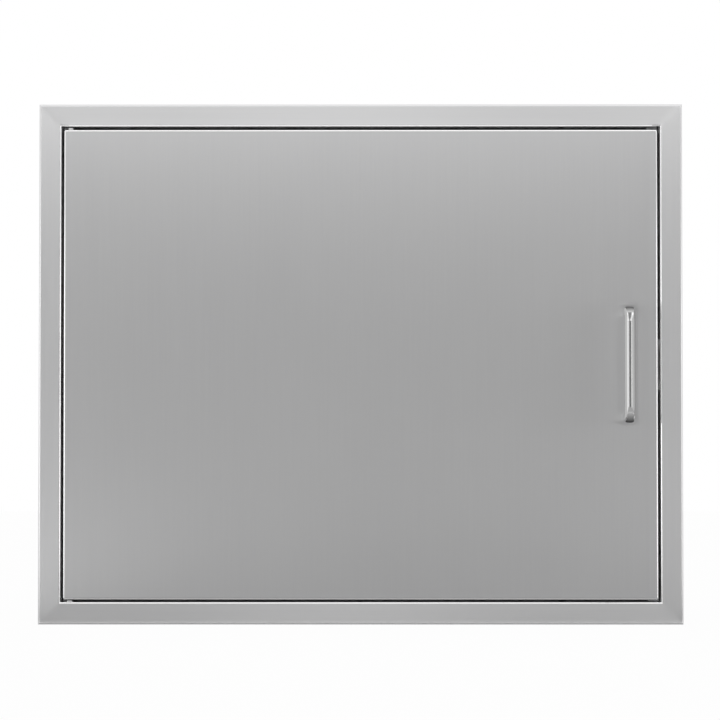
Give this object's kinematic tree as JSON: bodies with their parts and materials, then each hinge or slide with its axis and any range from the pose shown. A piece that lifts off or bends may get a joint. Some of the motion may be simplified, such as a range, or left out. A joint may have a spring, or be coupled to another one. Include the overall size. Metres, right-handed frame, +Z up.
{
  "type": "barbecue island access door",
  "caption": "Flush rectangular stainless access door with a bowed bar handle, on pivot pins in a folded face frame, with a magnetic catch.",
  "frame": {"origin": "middle of the opening, in the plane of the island's wall that the frame's edge lip rests on", "axes": "+X to the right seen from the front, +Y back into the island, +Z up"},
  "size_m": [0.6604, 0.086, 0.5334],
  "materials": {
    "brushed_stainless": "brushed",
    "mill_stainless": "satin",
    "polished_stainless": "polished",
    "turned_stainless": "turned",
    "plated_steel": "zinc plated",
    "fastener_steel": "satin",
    "spring_steel": "drawn",
    "black_nylon": "moulded",
    "white_nylon": "moulded",
    "black_rubber": "moulded",
    "ferrite": "sintered"
  },
  "bodies": {
    "frame": {"frame_top_rail": "brushed_stainless", "frame_bottom_rail": "brushed_stainless", "frame_left_stile": "brushed_stainless", "frame_right_stile": "brushed_stainless", "stop_top": "mill_stainless", "stop_bottom": "mill_stainless", "stop_left": "mill_stainless", "stop_right": "mill_stainless", "upper_pivot_plate": "plated_steel", "lower_pivot_plate": "plated_steel", "upper_pivot_bush": "black_nylon", "lower_pivot_pin": "turned_stainless", "magnet_catch_case": "white_nylon", "magnet_block": "ferrite", "magnet_pole_plates": "plated_steel", "magnet_catch_screws": "fastener_steel", "door_bumpers": "black_rubber"},
    "door": {"door_skin": "brushed_stainless", "door_liner": "mill_stainless", "door_stiffener_left": "mill_stainless", "door_stiffener_right": "mill_stainless", "liner_rivets": "fastener_steel", "handle_bar": "polished_stainless", "handle_screws": "fastener_steel", "handle_washers": "fastener_steel", "handle_backing_plate": "plated_steel", "liner_hole_plugs": "black_nylon", "lower_hinge_bracket": "plated_steel", "upper_hinge_bracket": "plated_steel", "lower_pivot_bush": "black_nylon", "strike_plate": "plated_steel", "strike_plate_screws": "fastener_steel"},
    "upper_pin": {"upper_pivot_pin": "turned_stainless", "release_lever": "plated_steel", "pin_clip": "fastener_steel", "pivot_spring": "spring_steel"}
  },
  "joints": [
    {"name": "door_hinge", "type": "hinge", "parent": "frame", "child": "door", "pos_m": [-0.29821, 0.00149, 0], "axis": [0, 0, -1], "range_deg": [0, 105]},
    {"name": "upper_pin_slide", "type": "slide", "parent": "door", "child": "upper_pin", "axis": [0, 0, 1], "range_m": [-0.006, 0], "stiffness_N_per_m": 600, "springref_m": 0.008, "deforming": ["pivot_spring"]}
  ]
}
